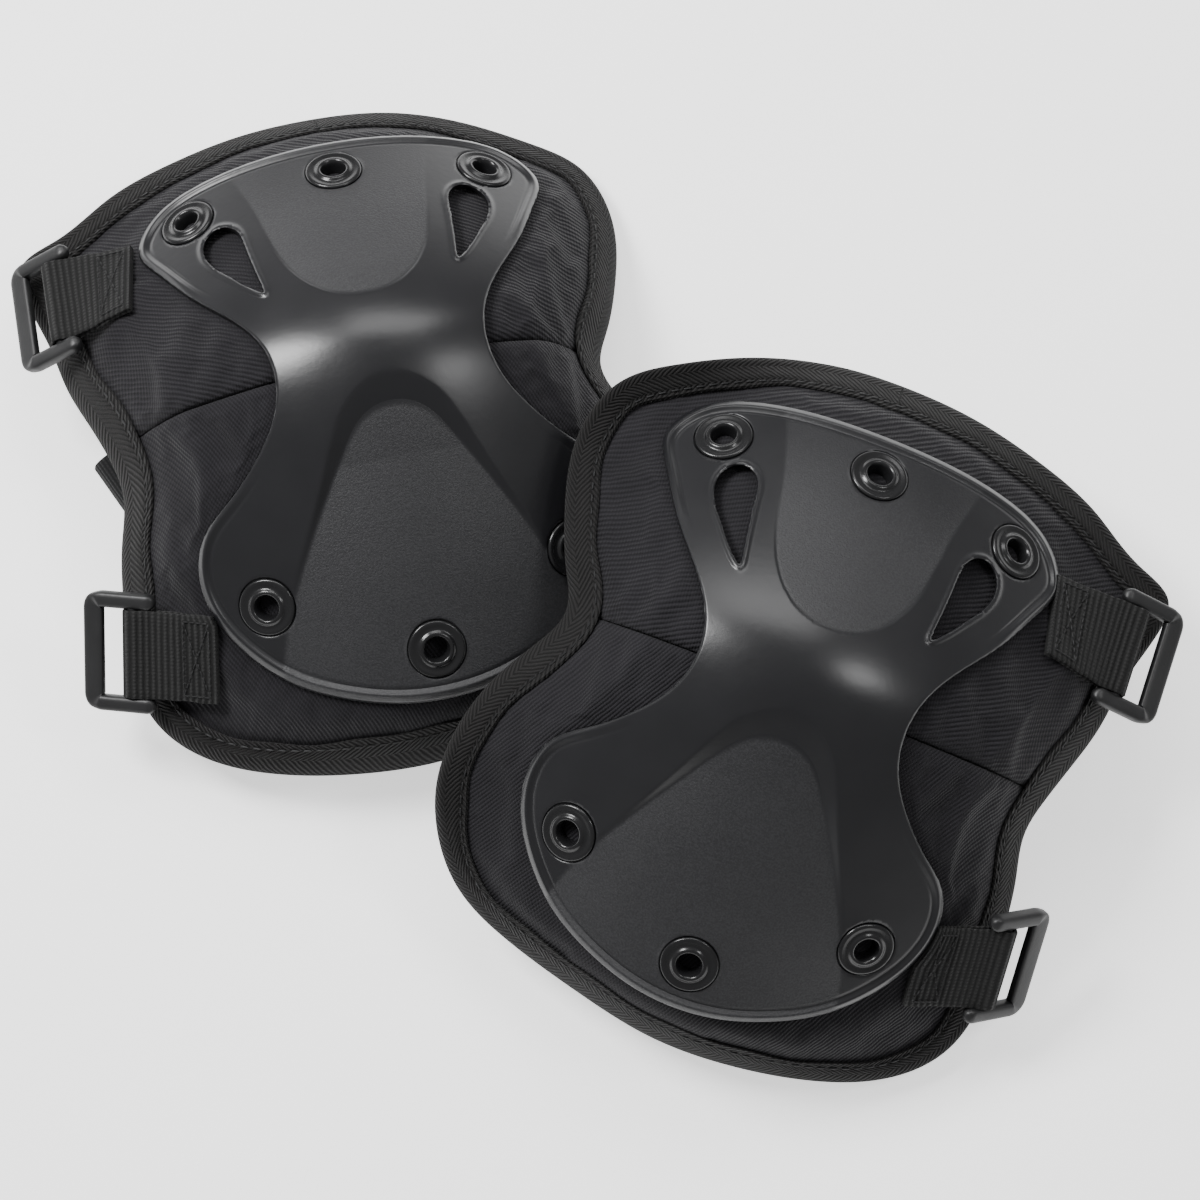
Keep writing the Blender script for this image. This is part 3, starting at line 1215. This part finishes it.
def add_strap(name, strap_name):
    """One elastic strap: down from the lining, along the floor and folded back on itself."""
    lie = LIES[strap_name[0]]
    strap = STRAPS[strap_name]
    yaw = Matrix.Rotation(math.radians(lie["yaw"]), 4, "Z")
    plan = Matrix.Translation((lie["at"][0], lie["at"][1], 0)) @ yaw
    sewn = plan @ Vector((*strap["sewn"], 0))
    toward = plan @ Vector((*strap["toward"], 0))
    length = (toward - sewn).length
    heading = math.atan2(toward.y - sewn.y, toward.x - sewn.x)
    turn = length - FOLD_R
    low = STRAP_THICK / 2
    rest = low + STRAP_THICK + LAY
    path = [tuple(map(float, point)) for point in strap["drop"]]
    path += [(x, low) for x in np.linspace(path[-1][0] + 12, turn, 8)]
    path += [(turn + FOLD_R * math.sin(a), low + FOLD_R - FOLD_R * math.cos(a))
             for a in np.radians([30, 60, 90, 120, 150, 180])]
    drop = low + 2 * FOLD_R - rest
    path += [(turn - SETTLE * t, rest + drop * (1 - float(ease(t)))) for t in np.linspace(0.15, 1, 8)]
    path += [(x, rest) for x in np.linspace(turn - SETTLE - 8, turn - strap["back"], 5)]
    points, faces, weave = ribbon(path, STRAP_WIDTH, STRAP_THICK, 1.6, 0.05, wobble=0.15, lowest=low)
    place = Matrix.Scale(MM, 4) @ Matrix.Translation(sewn) @ Matrix.Rotation(heading, 4, "Z")
    return add_mesh(name, points, faces, MATERIALS["elastic"], place, weave=weave)


# ======== build the pair ========

def settle(piece, body, slot, *nodes):
    """Ride on a body, take a slot's finish and stand for CAD nodes."""
    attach(piece, body)
    if nodes:
        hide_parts(*nodes)
    return piece


def repaint(node, material):
    """Give a CAD node that stays a better material."""
    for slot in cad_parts[node].material_slots:
        slot.material = material


def strap_body(name):
    """The folded strap under guard a's lower edge is held by it; the others swing on their own."""
    return "guard_a" if name == "a_lower" else f"guard_{name}_strap"


def build_guard(side):
    lie = LIES[side]
    body = f"guard_{side}"
    matrix = guard_matrix(lie)
    shell = add_shell(f"{side}_shell", matrix)
    settle(shell, body, "shell_plastic", body + "_shell")
    rivets = add_rivets(f"{side}_rivets", matrix)
    settle(rivets, body, "rivet_plastic", body + "_rivets")
    for upper, node in ((True, "cover_upper_panel"), (False, "cover_lower_panel")):
        cover = add_cover(f"{side}_{node}", upper, lie, matrix)
        settle(cover, body, "cover_fabric", f"{body}_{node}")
    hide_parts(body + "_foam_core")
    lining = add_lining(f"{side}_lining", lie, matrix)
    settle(lining, body, "lining_fabric", body + "_lining")
    binding = add_binding(f"{side}_edge_binding", lie, matrix)
    settle(binding, body, "binding_fabric", body + "_edge_binding")
    stitches = add_rim_stitches(f"{side}_binding_stitches", lie, matrix)
    settle(stitches, body, "binding_fabric")
    repaint(body + "_rivet_washers", MATERIALS["washer"])
    for end in ("upper", "lower"):
        name = f"{side}_{end}"
        web = add_tab(f"{name}_tab", name, matrix)
        settle(web, body, "webbing", f"guard_{name}_tab")
        sewing = add_tab_stitches(f"{name}_tab_stitches", name, matrix)
        settle(sewing, body, "webbing")
        buckle = add_buckle(f"{name}_buckle", name, matrix)
        settle(buckle, f"guard_{name}_buckle", "buckle_plastic", f"guard_{name}_buckle")
        strap = add_strap(f"{name}_strap", name)
        settle(strap, strap_body(name), "elastic", f"guard_{name}_strap")
        repaint(f"guard_{name}_hook_patch", MATERIALS["hooks"])


# ======== studio ========

def add_floor():
    mesh = bpy.data.meshes.new("floor")
    mesh.from_pydata([(-4, -4, 0), (4, -4, 0), (4, 4, 0), (-4, 4, 0)], [], [(0, 1, 2, 3)])
    floor = bpy.data.objects.new("floor", mesh)
    floor.location.z = cad_box[0][2] - 0.0003
    mesh.materials.append(floor_paint())
    bpy.context.scene.collection.objects.link(floor)


def add_light(name, place, target, size, power):
    """A soft rectangular lamp."""
    data = bpy.data.lights.new(name, "AREA")
    data.shape = "RECTANGLE"
    data.size, data.size_y = size
    data.energy = power
    lamp = bpy.data.objects.new(name, data)
    lamp.location = place
    lamp.rotation_euler = (Vector(target) - Vector(place)).to_track_quat("-Z", "Y").to_euler()
    bpy.context.scene.collection.objects.link(lamp)


def add_sky(strength):
    world = bpy.data.worlds.new("studio")
    world.use_nodes = True
    world.node_tree.nodes["Background"].inputs["Color"].default_value = (1, 1, 1, 1)
    world.node_tree.nodes["Background"].inputs["Strength"].default_value = strength
    bpy.context.scene.world = world


SKY = 0.36
# name, place, target, size and power of each lamp
LAMPS = [
    ("key", (-0.75, 0.45, 1.1), (0, 0, 0.05), (0.45, 0.45), 26),
    ("top", (0.1, 0.9, 1.2), (0, 0, 0.05), (0.9, 0.5), 9),
    ("right", (0.8, 0.1, 1.2), (0.05, 0, 0.05), (0.3, 0.3), 4),
]
CAMERA_TARGET = Vector((0.0038, -0.0136, 0.045))
CAMERA_DISTANCE = 1.3
CAMERA_ELEVATION = 77.0
CAMERA_LENS = 117.0


def add_camera():
    data = bpy.data.cameras.new("camera")
    data.lens = CAMERA_LENS
    camera = bpy.data.objects.new("camera", data)
    rise = math.radians(CAMERA_ELEVATION)
    offset = Vector((0, -math.cos(rise), math.sin(rise))) * CAMERA_DISTANCE
    camera.location = CAMERA_TARGET + offset
    camera.rotation_euler = (math.radians(90 - CAMERA_ELEVATION), 0, 0)
    bpy.context.scene.collection.objects.link(camera)
    bpy.context.scene.camera = camera


add_camera()
for guard in LIES:
    build_guard(guard)
add_floor()
add_sky(SKY)
for lamp in LAMPS:
    add_light(*lamp)
